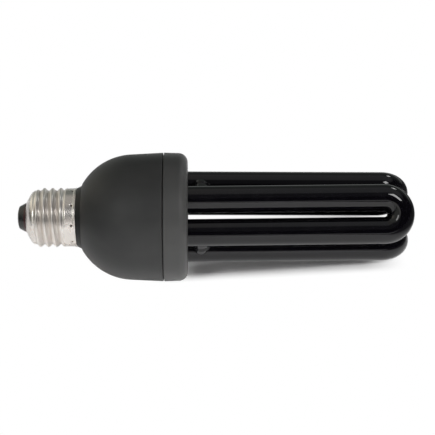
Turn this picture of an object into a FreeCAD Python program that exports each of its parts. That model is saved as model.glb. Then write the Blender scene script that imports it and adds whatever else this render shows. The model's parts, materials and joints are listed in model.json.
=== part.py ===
"""Black light lamp with a screw cap, a round ballast housing and three U-bent glass tubes.

The lamp is built along its own axis, +X, with the tip of the cap at x = 0 and the tube bends at the
far end. One U-bent tube points down. place() then lays the lamp on the ground as it comes to rest,
on the corner of its tube cover and on the bend of the lowest tube.
Units are millimetres.
"""
import FreeCAD, Part
import math
import os
from FreeCAD import Vector

# Screw cap
CONTACT_RADIUS = 3.6
CONTACT_THICKNESS = 0.7
CONTACT_PROUD = 0.3
NOSE_TIP_RADIUS = 4.9
NOSE_BASE_RADIUS = 6.8
NOSE_LENGTH = 3.6
NOSE_EDGE_ROUND = 0.8
INSULATOR_BORE = 2.4
INSULATOR_PLUG_LENGTH = 1.6
INSULATOR_FLANGE_RADIUS = 7.6
INSULATOR_FLANGE_THICKNESS = 1.2
SHELL_WALL = 0.35
SHELL_LIP_RADIUS = 7.1
SHOULDER_LENGTH = 3.8
THREAD_CREST_RADIUS = 13.15
THREAD_DEPTH = 1.2
THREAD_PITCH = 3.629
THREAD_TURNS = 3.86
THREAD_CLOCKING = -0.1
THREAD_FADE_TURNS = 0.5
SKIRT_RADIUS = 12.95
SKIRT_LENGTH = 4.4
EDGE_ROLL_HEIGHT = 0.15
EDGE_ROLL_LENGTH = 1.2
SHELL_FIT = 0.2

# Ballast housing
NECK_LENGTH = 10.0
NECK_WALL = 1.5
COLLAR_LENGTH = 2.45
COLLAR_START_RADIUS = 13.0
COLLAR_END_RADIUS = 14.25
COLLAR_STEP = 0.8
HOUSING_RADIUS = 28.7
HOUSING_SIDE_LENGTH = 14.4
HOUSING_DRAFT_DEG = 2.9
DOME_ARC_RADIUS = 26.6
HOUSING_WALL = 1.6
LEDGE_WIDTH = 1.1

# Tube cover
SEAM_GAP = 0.4
COVER_OVERHANG = 0.05
COVER_LENGTH = 10.55
COVER_DRAFT_DEG = 1.6
COVER_CORNER_RADIUS = 4.2
COVER_WALL = 1.8
SPIGOT_LENGTH = 7.5
SPIGOT_FIT = 0.1
CEMENT_THICKNESS = 2.5
CEMENT_EDGE = 1.0

# Glass tube
TUBE_DIAMETER = 12.0
LEG_SPACING = 14.5
PLANE_OFFSET = 12.4
TUBE_LEAN_DEG = 0.45
TUBE_REACH = 99.6
LEG_TAIL = 8.4
BRIDGE_DIAMETER = 8.0
BRIDGE_HEIGHT = 5.8
HOLE_CLEARANCE = 0.2
CEMENT_FIT = 0.05
TUBE_ANGLES_DEG = (-90, 150, 30)
TUBE_SKEWS_DEG = {-90: 0, 150: -0.45, 30: 0}

# Ballast on its board
BOARD_THICKNESS = 1.6
BOARD_FIT = 0.3
CAN_DIAMETER = 10.0
CAN_LENGTH = 17.0
CAN_ROUND = 0.8
CHOKE_WIDTH = 16.0
CHOKE_HEIGHT = 13.0
CHOKE_LEG = 4.0
CHOKE_CORE_DEPTH = 5.0
BOBBIN_WALL = 0.8
BOBBIN_FIT = 0.1
WINDING_SPACE = 0.4
TOROID_DIAMETER = 9.0
TOROID_BORE = 5.0
TOROID_HEIGHT = 4.0
TRANSISTOR_DIAMETER = 4.8
TRANSISTOR_FLAT = 1.2
TRANSISTOR_HEIGHT = 4.8
TRANSISTOR_LEAD_LENGTH = 3.0
TRANSISTOR_LEAD_PITCH = 1.27
LEAD_DIAMETER = 0.6
FILM_WIDTH = 5.0
FILM_LENGTH = 11.0
FILM_HEIGHT = 9.0
FILM_ROUND = 1.0
DIODE_DIAMETER = 2.7
DIODE_LENGTH = 5.0
DIODE_SPACING = 4.6
DIODE_COUNT = 4
FUSE_DIAMETER = 3.4
FUSE_LENGTH = 8.5
RESISTOR_DIAMETER = 2.0
RESISTOR_LENGTH = 4.0
RESISTOR_SPACING = 3.2
PIN_DIAMETER = 1.0
PIN_LENGTH = 6.0
PIN_PAIR_SPACING = 3.6
WRAP_LENGTH = 3.0
WRAP_WALL = 0.5
WIRE_DIAMETER = 1.5
WIRE_SPACING = 3.2
PART_SPACING = 1.2

# Stations along the axis, from the tip of the cap
NOSE_START = CONTACT_PROUD
SHELL_START = NOSE_START + NOSE_LENGTH
THREAD_START = SHELL_START + SHOULDER_LENGTH
SKIRT_START = THREAD_START + THREAD_TURNS * THREAD_PITCH
SHELL_END = SKIRT_START + SKIRT_LENGTH
NECK_START = SKIRT_START - NECK_LENGTH
SHANK_END = CONTACT_THICKNESS + INSULATOR_PLUG_LENGTH
COLLAR_END = SHELL_END + COLLAR_LENGTH
THREAD_ROOT_RADIUS = THREAD_CREST_RADIUS - THREAD_DEPTH
NECK_RADIUS = THREAD_ROOT_RADIUS - SHELL_WALL - SHELL_FIT
NECK_BORE = NECK_RADIUS - NECK_WALL
SKIRT_SEAT_RADIUS = SKIRT_RADIUS - SHELL_WALL - SHELL_FIT

# The dome is one arc that starts on the collar's step and ends tangent to the drafted side
DRAFT = math.radians(HOUSING_DRAFT_DEG)
SIDE_START_RADIUS = HOUSING_RADIUS - HOUSING_SIDE_LENGTH * math.tan(DRAFT)
DOME_START_RADIUS = COLLAR_END_RADIUS + COLLAR_STEP
DOME_CENTRE_RADIUS = SIDE_START_RADIUS - DOME_ARC_RADIUS * math.cos(DRAFT)
DOME_RISE = math.sqrt(DOME_ARC_RADIUS ** 2 - (DOME_START_RADIUS - DOME_CENTRE_RADIUS) ** 2)
DOME_CENTRE_X = COLLAR_END + DOME_RISE
SIDE_START = DOME_CENTRE_X - DOME_ARC_RADIUS * math.sin(DRAFT)
HOUSING_END = SIDE_START + HOUSING_SIDE_LENGTH
COVER_START = HOUSING_END + SEAM_GAP
COVER_END = COVER_START + COVER_LENGTH
COVER_RADIUS = HOUSING_RADIUS + COVER_OVERHANG
SPIGOT_END = HOUSING_END - SPIGOT_LENGTH
SPIGOT_RADIUS = HOUSING_RADIUS - SPIGOT_LENGTH * math.tan(DRAFT) - HOUSING_WALL - SPIGOT_FIT
COVER_INNER_RADIUS = SPIGOT_RADIUS - COVER_WALL
PLATE_INNER = COVER_END - COVER_WALL
BOARD_BACK = SPIGOT_END
BOARD_FRONT = BOARD_BACK - BOARD_THICKNESS
BOARD_RADIUS = SPIGOT_RADIUS - BOARD_FIT
LEDGE_X = BOARD_FRONT

# Tube directions and the straight length of a leg outside the cover
LEAN = math.radians(TUBE_LEAN_DEG)
TUBE_RADIUS = TUBE_DIAMETER / 2
BEND_RADIUS = LEG_SPACING / 2
LEG_LENGTH = TUBE_REACH - BEND_RADIUS - TUBE_RADIUS

X_AXIS = Vector(1, 0, 0)
Y_AXIS = Vector(0, 1, 0)
TOLERANCE = 1e-5


def revolve(points):
    """A solid of revolution about the lamp's axis from (x, radius) corners."""
    wire = Part.makePolygon([Vector(x, 0, radius) for x, radius in points + points[:1]])
    return Part.Face(wire).revolve(Vector(), X_AXIS, 360)


def revolve_edges(edges):
    """A solid of revolution about the lamp's axis from a closed run of edges in the XZ plane."""
    return Part.Face(Part.Wire(edges)).revolve(Vector(), X_AXIS, 360)


def line(start, end):
    """A straight edge in the XZ plane between two (x, radius) points."""
    return Part.LineSegment(Vector(start[0], 0, start[1]), Vector(end[0], 0, end[1])).toShape()


def arc(start, middle, end):
    """An arc in the XZ plane through three (x, radius) points."""
    points = [Vector(x, 0, radius) for x, radius in (start, middle, end)]
    return Part.Arc(*points).toShape()


def ring_edges(shape, x, radius):
    """Edges of a turned shape that lie in the plane at x and reach out to radius."""
    boxes = [(edge, edge.BoundBox) for edge in shape.Edges]
    return [edge for edge, box in boxes
            if max(box.XMax - x, x - box.XMin) < TOLERANCE and abs(box.ZMax - radius) < TOLERANCE]


def rod(radius, start, end):
    """A round rod between two points."""
    return Part.makeCylinder(radius, (end - start).Length, start, end - start)


def standing_block(width, depth, height, y, z):
    """A box that stands on the front of the board, centred on (y, z)."""
    corner = Vector(BOARD_FRONT - height, y - width / 2, z - depth / 2)
    return Part.makeBox(height, width, depth, corner)


def standing_rod(radius, height, y, z):
    """A rod that stands on the front of the board at (y, z)."""
    return rod(radius, Vector(BOARD_FRONT, y, z), Vector(BOARD_FRONT - height, y, z))


def lying_rod(radius, length, y, z):
    """A rod that lies on the front of the board along Z, centred on (y, z)."""
    x = BOARD_FRONT - radius
    return rod(radius, Vector(x, y, z - length / 2), Vector(x, y, z + length / 2))


def tube_point(angle_deg, along, across):
    """A point of a U tube: along its leg from the cover's face, and across from its middle line.

    The tube leans to the lamp's axis, and may be skewed in its own plane, as a hand-set tube is.
    """
    angle = math.radians(angle_deg)
    skew = math.radians(TUBE_SKEWS_DEG[angle_deg])
    along, across = (along * math.cos(skew) - across * math.sin(skew),
                     along * math.sin(skew) + across * math.cos(skew))
    outward = Vector(0, math.cos(angle), math.sin(angle))
    sideways = Vector(0, -math.sin(angle), math.cos(angle))
    radius = PLANE_OFFSET - along * math.sin(LEAN)
    return X_AXIS * (COVER_END + along * math.cos(LEAN)) + outward * radius + sideways * across


def leg_rod(radius, angle_deg, side, start, end):
    """A rod on the centre line of one leg, from start to end along it."""
    across = side * BEND_RADIUS
    return rod(radius, tube_point(angle_deg, start, across), tube_point(angle_deg, end, across))


def all_leg_rods(radius, start, end):
    """Rods on the centre lines of all six legs."""
    return [leg_rod(radius, angle, side, start, end) for angle in TUBE_ANGLES_DEG for side in (-1, 1)]


def centre_contact():
    """Button that stands proud of the insulator, with a shank in the insulator's bore."""
    button = rod(CONTACT_RADIUS, Vector(), X_AXIS * CONTACT_THICKNESS)
    button = button.makeFillet(CONTACT_PROUD / 2, ring_edges(button, 0, CONTACT_RADIUS))
    shank = rod(INSULATOR_BORE - SHELL_FIT, X_AXIS * CONTACT_THICKNESS, X_AXIS * SHANK_END)
    return button.fuse(shank).removeSplitter()


def cap_insulator():
    """Coned nose with a seat for the contact, a plug in the shell's lip and a flange behind the lip."""
    lip_bore = SHELL_LIP_RADIUS - SHELL_WALL - SHELL_FIT
    plug_end = SHELL_START + INSULATOR_PLUG_LENGTH
    flange_end = plug_end + INSULATOR_FLANGE_THICKNESS
    body = revolve([
        (NOSE_START, 0), (NOSE_START, NOSE_TIP_RADIUS), (SHELL_START, NOSE_BASE_RADIUS),
        (SHELL_START, lip_bore), (plug_end, lip_bore), (plug_end, INSULATOR_FLANGE_RADIUS),
        (flange_end, INSULATOR_FLANGE_RADIUS), (flange_end, 0),
    ])
    body = body.makeFillet(NOSE_EDGE_ROUND, ring_edges(body, NOSE_START, NOSE_TIP_RADIUS))
    seat = rod(CONTACT_RADIUS + SHELL_FIT / 2, Vector(), X_AXIS * CONTACT_THICKNESS)
    bore = rod(INSULATOR_BORE, Vector(), X_AXIS * flange_end)
    return body.cut(seat.fuse(bore))


def shell_radius(x, turn):
    """Radius of the outer face: shoulder, round thread that fades at both ends, skirt, rolled edge."""
    def ease(value):
        value = min(max(value, 0.0), 1.0)
        return value * value * (3 - 2 * value)

    mean = THREAD_CREST_RADIUS - THREAD_DEPTH / 2
    fade_length = THREAD_PITCH * THREAD_FADE_TURNS
    fade_in = ease((x - THREAD_START) / fade_length)
    fade_out = ease((SKIRT_START - x) / fade_length)
    shoulder = min((x - SHELL_START) / SHOULDER_LENGTH, 1.0)
    base = SHELL_LIP_RADIUS + (THREAD_ROOT_RADIUS - SHELL_LIP_RADIUS) * math.sin(shoulder * math.pi / 2)
    base += (mean - THREAD_ROOT_RADIUS) * fade_in + (SKIRT_RADIUS - mean) * (1 - fade_out)
    base += EDGE_ROLL_HEIGHT * ease((x - SHELL_END) / EDGE_ROLL_LENGTH * 2 + 2)
    wave = math.cos(2 * math.pi * ((x - THREAD_START) / THREAD_PITCH - turn - THREAD_CLOCKING))
    return base + fade_in * fade_out * THREAD_DEPTH / 2 * wave


def shell_skin(inset):
    """One skin of the shell as a spline surface over stations along the axis and turns round it."""
    stations_per_pitch = 10
    sectors = 32
    count = round((SHELL_END - SHELL_START) / THREAD_PITCH * stations_per_pitch)
    grid = []
    for row in range(count + 1):
        x = SHELL_START + (SHELL_END - SHELL_START) * row / count
        ring = []
        for column in range(sectors + 1):
            turn = (column % sectors) / sectors
            radius = shell_radius(x, turn) - inset
            angle = 2 * math.pi * turn
            ring.append(Vector(x, radius * math.cos(angle), radius * math.sin(angle)))
        grid.append(ring)
    surface = Part.BSplineSurface()
    surface.interpolate(grid)
    return surface.toShape()


def end_ring(outer_skin, inner_skin, x):
    """Flat ring that closes the shell's wall at one end."""
    def rim(skin):
        edges = [edge for edge in skin.Edges if edge.BoundBox.XLength < SHELL_WALL / 10]
        return Part.Wire(min(edges, key=lambda edge: abs(edge.CenterOfMass.x - x)))

    ring = Part.Face([rim(outer_skin), rim(inner_skin)])
    ring.validate()
    return ring


def screw_shell():
    """Sheet shell with a rolled round thread: outer and inner skins closed by a ring at each end."""
    outer_skin = shell_skin(0)
    inner_skin = shell_skin(SHELL_WALL)
    rings = [end_ring(outer_skin, inner_skin, x) for x in (SHELL_START, SHELL_END)]
    shell = Part.makeShell([outer_skin, inner_skin] + rings)
    shell.sewShape()
    solid = Part.makeSolid(shell)
    solid.fix(TOLERANCE, TOLERANCE, SHELL_WALL / 100)
    if solid.Volume < 0:
        solid.reverse()
    return solid


def dome_point(inset, degrees):
    """A point of the dome's arc, degrees round from its tangent with the drafted side."""
    angle = math.radians(90 + HOUSING_DRAFT_DEG + degrees)
    radius = DOME_ARC_RADIUS - inset
    return DOME_CENTRE_X + radius * math.cos(angle), DOME_CENTRE_RADIUS + radius * math.sin(angle)


def dome_sweep(inset, stop_radius):
    """Degrees of the dome's arc, at an inset, from the drafted side to where its radius is stop_radius."""
    rise = (stop_radius - DOME_CENTRE_RADIUS) / (DOME_ARC_RADIUS - inset)
    return 90 - HOUSING_DRAFT_DEG - math.degrees(math.asin(rise))


def ballast_housing():
    """Moulded dome with a collar and a neck for the shell, and a ledge inside for the board."""
    wall = HOUSING_WALL / math.cos(DRAFT)
    outer_stop = dome_sweep(0, DOME_START_RADIUS)
    deep = HOUSING_WALL + LEDGE_WIDTH
    inner_stop = dome_sweep(deep, NECK_BORE)
    inner_start = dome_point(deep, 0)
    inner_end = dome_point(deep, inner_stop)
    rim_radius = HOUSING_RADIUS - wall
    ledge_radius = rim_radius - (HOUSING_END - LEDGE_X) * math.tan(DRAFT)
    step_radius = ledge_radius - LEDGE_WIDTH
    corners = [
        (COLLAR_END, DOME_START_RADIUS), (COLLAR_END, COLLAR_END_RADIUS), (SHELL_END, COLLAR_START_RADIUS),
        (SHELL_END, SKIRT_SEAT_RADIUS), (SKIRT_START, SKIRT_SEAT_RADIUS), (SKIRT_START, NECK_RADIUS),
        (NECK_START, NECK_RADIUS), (NECK_START, NECK_BORE), inner_end,
    ]
    edges = [line(start, end) for start, end in zip(corners, corners[1:])]
    edges.append(arc(inner_end, dome_point(deep, inner_stop / 2), inner_start))
    corners = [
        inner_start, (LEDGE_X, step_radius), (LEDGE_X, ledge_radius), (HOUSING_END, rim_radius),
        (HOUSING_END, HOUSING_RADIUS), dome_point(0, 0),
    ]
    edges += [line(start, end) for start, end in zip(corners, corners[1:])]
    edges.append(arc(dome_point(0, 0), dome_point(0, outer_stop / 2), (COLLAR_END, DOME_START_RADIUS)))
    return revolve_edges(edges)


def tube_cover():
    """Ring and end plate with a rounded corner, six tube holes and a spigot inside the housing."""
    draft = math.radians(COVER_DRAFT_DEG)
    edge_radius = COVER_RADIUS - COVER_LENGTH * math.tan(draft)
    body = revolve([
        (SPIGOT_END, COVER_INNER_RADIUS), (SPIGOT_END, SPIGOT_RADIUS), (COVER_START, SPIGOT_RADIUS),
        (COVER_START, COVER_RADIUS), (COVER_END, edge_radius), (COVER_END, 0),
        (PLATE_INNER, 0), (PLATE_INNER, COVER_INNER_RADIUS),
    ])
    body = body.makeFillet(COVER_CORNER_RADIUS, ring_edges(body, COVER_END, edge_radius))
    holes = all_leg_rods(TUBE_RADIUS + HOLE_CLEARANCE, -LEG_TAIL, LEG_TAIL)
    return body.cut(Part.makeCompound(holes))


def tube_cement():
    """Potting disc behind the end plate, round all six legs."""
    back = PLATE_INNER - CEMENT_THICKNESS
    disc = rod(COVER_INNER_RADIUS - CEMENT_EDGE, X_AXIS * back, X_AXIS * PLATE_INNER)
    holes = all_leg_rods(TUBE_RADIUS + CEMENT_FIT, -LEG_TAIL, LEG_TAIL)
    return disc.cut(Part.makeCompound(holes))


def u_tube(angle_deg):
    """One tube bent to a U: two legs and a half-round bend, in a plane that leans to the axis."""
    def point(along, across):
        return tube_point(angle_deg, along, across)

    legs = [Part.LineSegment(point(-LEG_TAIL, -BEND_RADIUS), point(LEG_LENGTH, -BEND_RADIUS)).toShape(),
            Part.LineSegment(point(LEG_LENGTH, BEND_RADIUS), point(-LEG_TAIL, BEND_RADIUS)).toShape()]
    crown = point(LEG_LENGTH + BEND_RADIUS, 0)
    bend = Part.Arc(point(LEG_LENGTH, -BEND_RADIUS), crown, point(LEG_LENGTH, BEND_RADIUS)).toShape()
    start = point(-LEG_TAIL, -BEND_RADIUS)
    section = Part.Wire(Part.makeCircle(TUBE_RADIUS, start, point(0, -BEND_RADIUS) - start))
    return Part.Wire([legs[0], bend, legs[1]]).makePipeShell([section], True, False)


def discharge_tube():
    """Three U tubes in a row, each joined to the next by a short bridge near the cover."""
    glass = u_tube(TUBE_ANGLES_DEG[0])
    for last, this in zip(TUBE_ANGLES_DEG, TUBE_ANGLES_DEG[1:]):
        bridge = rod(BRIDGE_DIAMETER / 2, tube_point(last, BRIDGE_HEIGHT, -BEND_RADIUS),
                     tube_point(this, BRIDGE_HEIGHT, BEND_RADIUS))
        glass = glass.fuse([bridge, u_tube(this)])
    return glass.removeSplitter()


# Places on the board, as (y, z) from the axis
CAN_PLACE = (0, WIRE_DIAMETER + CAN_DIAMETER / 2)
CHOKE_WINDOW = CHOKE_WIDTH / 2 - CHOKE_LEG
CHOKE_DEPTH = CHOKE_CORE_DEPTH + 2 * (CHOKE_WINDOW - WINDING_SPACE)
CHOKE_PLACE = (0, -WIRE_DIAMETER - PART_SPACING - CHOKE_DEPTH / 2)
FILM_OFFSET = CHOKE_WIDTH / 2 + PART_SPACING + FILM_WIDTH / 2
TOROID_PLACE = (CHOKE_WIDTH / 2 + PART_SPACING + TOROID_DIAMETER / 2, CHOKE_PLACE[1])
TRANSISTOR_Y = -CHOKE_WIDTH / 2 - PART_SPACING - TRANSISTOR_DIAMETER / 2
DIODE_Z = CAN_PLACE[1] + CAN_DIAMETER / 2 + PART_SPACING + DIODE_LENGTH / 2
FILM_Z = FILM_LENGTH / 2 - PART_SPACING
RESISTOR_Z = FILM_Z + FILM_LENGTH / 2 + PART_SPACING


def circuit_board():
    """Round board between the housing's ledge and the cover's spigot."""
    return rod(BOARD_RADIUS, X_AXIS * BOARD_FRONT, X_AXIS * BOARD_BACK)


def smoothing_capacitor():
    """Can that stands on the board and reaches into the dome."""
    can = standing_rod(CAN_DIAMETER / 2, CAN_LENGTH, *CAN_PLACE)
    ends = [edge for edge in can.Edges if edge.BoundBox.XLength < CAN_ROUND]
    return can.makeFillet(CAN_ROUND, ends)


def choke_core():
    """Two E halves, back to back, as one block with two windows round the middle leg."""
    y, z = CHOKE_PLACE
    block = standing_block(CHOKE_WIDTH, CHOKE_CORE_DEPTH, CHOKE_HEIGHT, y, z)
    window_height = CHOKE_HEIGHT - CHOKE_LEG
    for side in (-1, 1):
        corner = Vector(BOARD_FRONT - CHOKE_LEG / 2 - window_height, 0, z - CHOKE_CORE_DEPTH)
        corner.y = y + side * (CHOKE_LEG + CHOKE_WINDOW) / 2 - CHOKE_WINDOW / 2
        block = block.cut(Part.makeBox(window_height, CHOKE_WINDOW, 2 * CHOKE_CORE_DEPTH, corner))
    return block


def choke_sleeve(inset, outset, height, y, z):
    """Rectangular sleeve round the core's middle leg, centred on the windows."""
    def box(grow):
        width = CHOKE_LEG + 2 * grow
        depth = CHOKE_CORE_DEPTH + 2 * grow
        middle = BOARD_FRONT - CHOKE_HEIGHT / 2
        return Part.makeBox(height, width, depth, Vector(middle - height / 2, y - width / 2, z - depth / 2))

    return box(outset).cut(box(inset))


def choke_bobbin():
    """Thin sleeve round the middle leg, between the ends of the windows."""
    height = CHOKE_HEIGHT - CHOKE_LEG - 2 * BOBBIN_FIT
    return choke_sleeve(BOBBIN_FIT, BOBBIN_FIT + BOBBIN_WALL, height, *CHOKE_PLACE)


def choke_winding():
    """Wound wire on the bobbin, clear of the outer legs, as one solid."""
    height = CHOKE_HEIGHT - CHOKE_LEG - 2 * BOBBIN_FIT - 2 * BOBBIN_WALL
    return choke_sleeve(BOBBIN_FIT + BOBBIN_WALL, CHOKE_WINDOW - WINDING_SPACE, height, *CHOKE_PLACE)


def drive_toroid():
    """Ring core that lies on the board."""
    ring = standing_rod(TOROID_DIAMETER / 2, TOROID_HEIGHT, *TOROID_PLACE)
    return ring.cut(standing_rod(TOROID_BORE / 2, TOROID_HEIGHT, *TOROID_PLACE))


def transistor(y, z):
    """Round case with a flat, on three leads."""
    radius = TRANSISTOR_DIAMETER / 2
    base = Vector(BOARD_FRONT - TRANSISTOR_LEAD_LENGTH, y, z)
    case = rod(radius, base, base - X_AXIS * TRANSISTOR_HEIGHT)
    flat = Part.makeBox(TRANSISTOR_HEIGHT, TRANSISTOR_FLAT, TRANSISTOR_DIAMETER,
                        Vector(base.x - TRANSISTOR_HEIGHT, y - radius, z - radius))
    case = case.cut(flat)
    leads = [standing_rod(LEAD_DIAMETER / 2, TRANSISTOR_LEAD_LENGTH, y, z + step * TRANSISTOR_LEAD_PITCH)
             for step in (-1, 0, 1)]
    return case.fuse(leads).removeSplitter()


def transistors():
    """Two transistors in line beside the choke."""
    step = (TRANSISTOR_DIAMETER + PART_SPACING) / 2
    return Part.makeCompound([transistor(TRANSISTOR_Y, CHOKE_PLACE[1] + side * step) for side in (-1, 1)])


def film_capacitor(side):
    """Dipped film capacitor with rounded upright edges, on one side of the can."""
    block = standing_block(FILM_WIDTH, FILM_LENGTH, FILM_HEIGHT, side * FILM_OFFSET, FILM_Z)
    upright = [edge for edge in block.Edges if edge.BoundBox.XLength > FILM_HEIGHT / 2]
    return block.makeFillet(FILM_ROUND, upright)


def rectifier_diodes():
    """Four diodes side by side beyond the can."""
    places = [(step - (DIODE_COUNT - 1) / 2) * DIODE_SPACING for step in range(DIODE_COUNT)]
    return Part.makeCompound([lying_rod(DIODE_DIAMETER / 2, DIODE_LENGTH, y, DIODE_Z) for y in places])


def fuse_resistor():
    """Fusible resistor that stands beyond one film capacitor."""
    return standing_rod(FUSE_DIAMETER / 2, FUSE_LENGTH, -FILM_OFFSET, RESISTOR_Z + FUSE_DIAMETER / 2)


def base_resistors():
    """Two small resistors beyond the other film capacitor."""
    places = [FILM_OFFSET + side * RESISTOR_SPACING / 2 for side in (-1, 1)]
    z = RESISTOR_Z + RESISTOR_LENGTH / 2
    return Part.makeCompound([lying_rod(RESISTOR_DIAMETER / 2, RESISTOR_LENGTH, y, z) for y in places])


def electrode_places():
    """The (y, z) places of the four leads, two under each end leg of the tube."""
    places = []
    for angle_deg, across in ((TUBE_ANGLES_DEG[0], BEND_RADIUS), (TUBE_ANGLES_DEG[-1], -BEND_RADIUS)):
        end = tube_point(angle_deg, -LEG_TAIL, across)
        for side in (-1, 1):
            places.append(Vector(0, end.y + side * PIN_PAIR_SPACING / 2, end.z))
    return places


def wrap_pins():
    """Four posts on the back of the board."""
    foot = X_AXIS * BOARD_BACK
    top = X_AXIS * (BOARD_BACK + PIN_LENGTH)
    return Part.makeCompound([rod(PIN_DIAMETER / 2, place + foot, place + top) for place in electrode_places()])


def electrode_leads():
    """Four leads, each wrapped round its post and running on to the end of its leg."""
    leads = []
    radius = PIN_DIAMETER / 2 + WRAP_WALL
    pin_end = BOARD_BACK + PIN_LENGTH
    leg_end = COVER_END - LEG_TAIL * math.cos(LEAN) - TUBE_RADIUS * math.sin(LEAN)
    for place in electrode_places():
        wrap_start = place + X_AXIS * (pin_end - WRAP_LENGTH)
        lead = rod(radius, wrap_start, place + X_AXIS * leg_end)
        leads.append(lead.cut(rod(PIN_DIAMETER / 2, wrap_start, place + X_AXIS * pin_end)))
    return Part.makeCompound(leads)


def live_wire():
    """Straight wire from the board to the shank of the centre contact."""
    return rod(WIRE_DIAMETER / 2, X_AXIS * BOARD_FRONT, X_AXIS * SHANK_END)


def neutral_wire():
    """Wire from the board through the neck, turned out over the neck's end to the shell."""
    turn_x = NECK_START - WIRE_DIAMETER
    across = Y_AXIS * WIRE_SPACING
    corner = across + X_AXIS * turn_x
    run = rod(WIRE_DIAMETER / 2, across + X_AXIS * BOARD_FRONT, corner)
    tail = rod(WIRE_DIAMETER / 2, corner, Y_AXIS * (NECK_RADIUS - SHELL_FIT) + X_AXIS * turn_x)
    return run.fuse([tail, Part.makeSphere(WIRE_DIAMETER / 2, corner)]).removeSplitter()


def rest_tilt():
    """Tilt of the axis when the cover's corner and the lowest bend both touch the ground.

    Seen from the side both are circles, and the ground is the line tangent to the two.
    """
    edge_radius = COVER_RADIUS - COVER_LENGTH * math.tan(math.radians(COVER_DRAFT_DEG))
    crown = tube_point(TUBE_ANGLES_DEG[0], LEG_LENGTH + BEND_RADIUS, 0)
    corner_x = COVER_END - COVER_CORNER_RADIUS
    corner_depth = edge_radius - COVER_CORNER_RADIUS * math.tan(math.radians(45 - COVER_DRAFT_DEG / 2))
    run = crown.x - corner_x
    drop = corner_depth + crown.z
    span = math.hypot(run, drop)
    return math.degrees(math.atan2(drop, run) + math.asin((COVER_CORNER_RADIUS - TUBE_RADIUS) / span))


def place(shapes):
    """Lay every piece on the ground, with the middle of the whole lamp's footprint at the origin."""
    turn = FreeCAD.Rotation(Y_AXIS, rest_tilt())
    for shape in shapes.values():
        shape.Placement = FreeCAD.Placement(Vector(), turn).multiply(shape.Placement)
    box = FreeCAD.BoundBox()
    for shape in shapes.values():
        box.add(shape.optimalBoundingBox(False, False))
    for shape in shapes.values():
        shape.translate(Vector(-box.Center.x, -box.Center.y, -box.ZMin))


def main():
    shapes = {
        "centre_contact": centre_contact(),
        "cap_insulator": cap_insulator(),
        "screw_shell": screw_shell(),
        "ballast_housing": ballast_housing(),
        "tube_cover": tube_cover(),
        "discharge_tube": discharge_tube(),
        "tube_cement": tube_cement(),
        "circuit_board": circuit_board(),
        "smoothing_capacitor": smoothing_capacitor(),
        "choke_core": choke_core(),
        "choke_bobbin": choke_bobbin(),
        "choke_winding": choke_winding(),
        "drive_toroid": drive_toroid(),
        "transistors": transistors(),
        "resonant_capacitor": film_capacitor(-1),
        "blocking_capacitor": film_capacitor(1),
        "rectifier_diodes": rectifier_diodes(),
        "fuse_resistor": fuse_resistor(),
        "base_resistors": base_resistors(),
        "wrap_pins": wrap_pins(),
        "electrode_leads": electrode_leads(),
        "live_wire": live_wire(),
        "neutral_wire": neutral_wire(),
    }
    place(shapes)
    os.makedirs("parts", exist_ok=True)
    for name, shape in shapes.items():
        shape.exportStep(f"parts/{name}.step")


main()
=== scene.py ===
import json
import math
import bmesh
import bpy
import numpy as np
from mathutils import Matrix, Vector


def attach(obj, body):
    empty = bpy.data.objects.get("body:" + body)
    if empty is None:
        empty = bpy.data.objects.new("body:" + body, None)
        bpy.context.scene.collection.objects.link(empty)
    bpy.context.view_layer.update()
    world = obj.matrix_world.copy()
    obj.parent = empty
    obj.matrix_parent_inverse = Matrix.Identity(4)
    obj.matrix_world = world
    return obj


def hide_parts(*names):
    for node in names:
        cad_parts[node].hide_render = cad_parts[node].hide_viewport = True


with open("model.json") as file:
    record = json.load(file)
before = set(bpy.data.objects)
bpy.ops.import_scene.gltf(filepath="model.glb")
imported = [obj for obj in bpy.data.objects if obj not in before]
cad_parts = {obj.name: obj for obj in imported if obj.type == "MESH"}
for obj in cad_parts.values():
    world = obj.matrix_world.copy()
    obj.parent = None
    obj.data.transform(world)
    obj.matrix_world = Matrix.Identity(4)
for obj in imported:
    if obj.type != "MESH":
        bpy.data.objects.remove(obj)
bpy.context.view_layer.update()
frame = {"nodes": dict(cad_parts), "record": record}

# Sizes in millimetres along the lamp's own axis from the tip of the cap, as in the part's source
CONTACT_RADIUS = 3.6
CONTACT_THICKNESS = 0.7
SHANK_RADIUS = 2.2
SHANK_END = 2.3
NOSE_START = 0.3
NOSE_TIP_RADIUS = 4.9
NOSE_BASE_RADIUS = 6.8
LIP_BORE = 6.55
PLUG_END = 5.5
FLANGE_RADIUS = 7.6
FLANGE_END = 6.7
INSULATOR_BORE = 2.4
SEAT_RADIUS = 3.7
SHELL_START = 3.9
SHELL_WALL = 0.35
SHELL_LIP_RADIUS = 7.1
SHOULDER_LENGTH = 3.8
THREAD_START = 7.7
THREAD_PITCH = 3.629
THREAD_TURNS = 3.86
THREAD_CREST_RADIUS = 13.15
THREAD_DEPTH = 1.2
THREAD_ROOT_RADIUS = THREAD_CREST_RADIUS - THREAD_DEPTH
THREAD_CLOCKING = -0.1
THREAD_FADE = 0.5 * THREAD_PITCH
SKIRT_START = THREAD_START + THREAD_TURNS * THREAD_PITCH
SKIRT_LENGTH = 4.4
SKIRT_RADIUS = 12.95
SHELL_END = SKIRT_START + SKIRT_LENGTH
EDGE_ROLL_HEIGHT = 0.15
EDGE_ROLL_LENGTH = 1.2
STAKE_COUNT = 9
STAKE_STATION = 24.5
STAKE_FIRST_DEG = 168
STAKE_RADIUS = 0.55
STAKE_DEPTH = 0.3

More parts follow.
